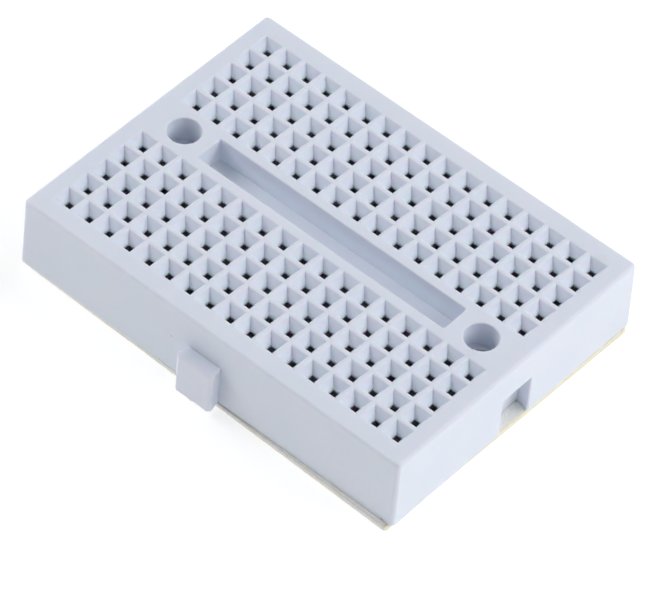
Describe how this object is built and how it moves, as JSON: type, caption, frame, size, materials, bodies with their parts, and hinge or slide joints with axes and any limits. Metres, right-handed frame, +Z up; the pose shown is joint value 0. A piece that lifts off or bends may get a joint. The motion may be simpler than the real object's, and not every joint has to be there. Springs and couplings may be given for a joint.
{
  "type": "solderless breadboard",
  "caption": "Flat rectangular wiring block: banks of square tapered wire holes either side of a gutter, counterbored screw holes, dovetail edge tabs and notches, sticky back.",
  "frame": {"origin": "on the surface the board stands on, which is the underside of the release liner, below the middle of the shell", "axes": "+X along the columns of tie points, +Y across the gutter, +Z up out of the tie points; the tab walls face -X and -Y"},
  "size_m": [0.0483, 0.0363, 0.009],
  "materials": {
    "shell_abs": "moulded ABS, fine satin",
    "clip_metal": "nickel-plated phosphor bronze strip",
    "pad_foam": "closed-cell foam",
    "liner_paper": "waxed release paper"
  },
  "bodies": {
    "board": {"housing": "shell_abs", "foam_pad": "pad_foam", "contact_clip_a01": "clip_metal", "contact_clip_a02": "clip_metal", "contact_clip_a03": "clip_metal", "contact_clip_a04": "clip_metal", "contact_clip_a05": "clip_metal", "contact_clip_a06": "clip_metal", "contact_clip_a07": "clip_metal", "contact_clip_a08": "clip_metal", "contact_clip_a09": "clip_metal", "contact_clip_a10": "clip_metal", "contact_clip_a11": "clip_metal", "contact_clip_a12": "clip_metal", "contact_clip_a13": "clip_metal", "contact_clip_a14": "clip_metal", "contact_clip_a15": "clip_metal", "contact_clip_a16": "clip_metal", "contact_clip_a17": "clip_metal", "contact_clip_b01": "clip_metal", "contact_clip_b02": "clip_metal", "contact_clip_b03": "clip_metal", "contact_clip_b04": "clip_metal", "contact_clip_b05": "clip_metal", "contact_clip_b06": "clip_metal", "contact_clip_b07": "clip_metal", "contact_clip_b08": "clip_metal", "contact_clip_b09": "clip_metal", "contact_clip_b10": "clip_metal", "contact_clip_b11": "clip_metal", "contact_clip_b12": "clip_metal", "contact_clip_b13": "clip_metal", "contact_clip_b14": "clip_metal", "contact_clip_b15": "clip_metal", "contact_clip_b16": "clip_metal", "contact_clip_b17": "clip_metal"},
    "liner": {"release_liner": "liner_paper"}
  },
  "joints": [
    {"name": "liner_peel", "type": "slide", "parent": "board", "child": "liner", "axis": [1, 0, 0], "range_m": [0, 0.05]}
  ]
}
